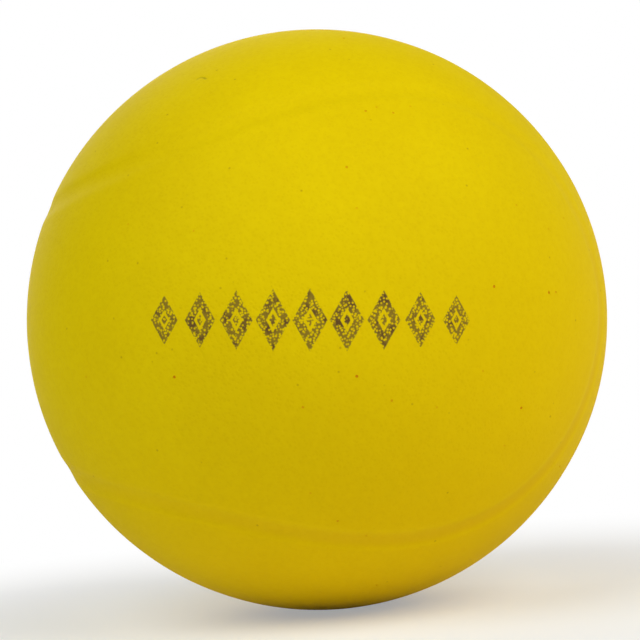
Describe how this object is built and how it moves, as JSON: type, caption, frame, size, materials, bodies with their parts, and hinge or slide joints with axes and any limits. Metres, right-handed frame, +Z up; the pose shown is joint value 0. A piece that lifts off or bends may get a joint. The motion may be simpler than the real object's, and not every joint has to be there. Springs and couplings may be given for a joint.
{
  "type": "soft play ball",
  "caption": "Palm-sized ball of soft skinned foam, with a shallow wave-shaped seam groove pressed round it.",
  "frame": {"origin": "the ball's centre", "axes": "-Y out of the ball's front, +Z up, +X along the axis that the seam swings about, which is an axis of fourfold alternating symmetry; the mould's parting plane is Y = 0"},
  "size_m": [0.063, 0.0629, 0.063],
  "materials": {
    "skin": "matte",
    "foam": "matte"
  },
  "bodies": {
    "root": {"skin_half_front": "skin", "skin_half_rear": "skin", "foam_core": "foam"}
  },
  "joints": []
}
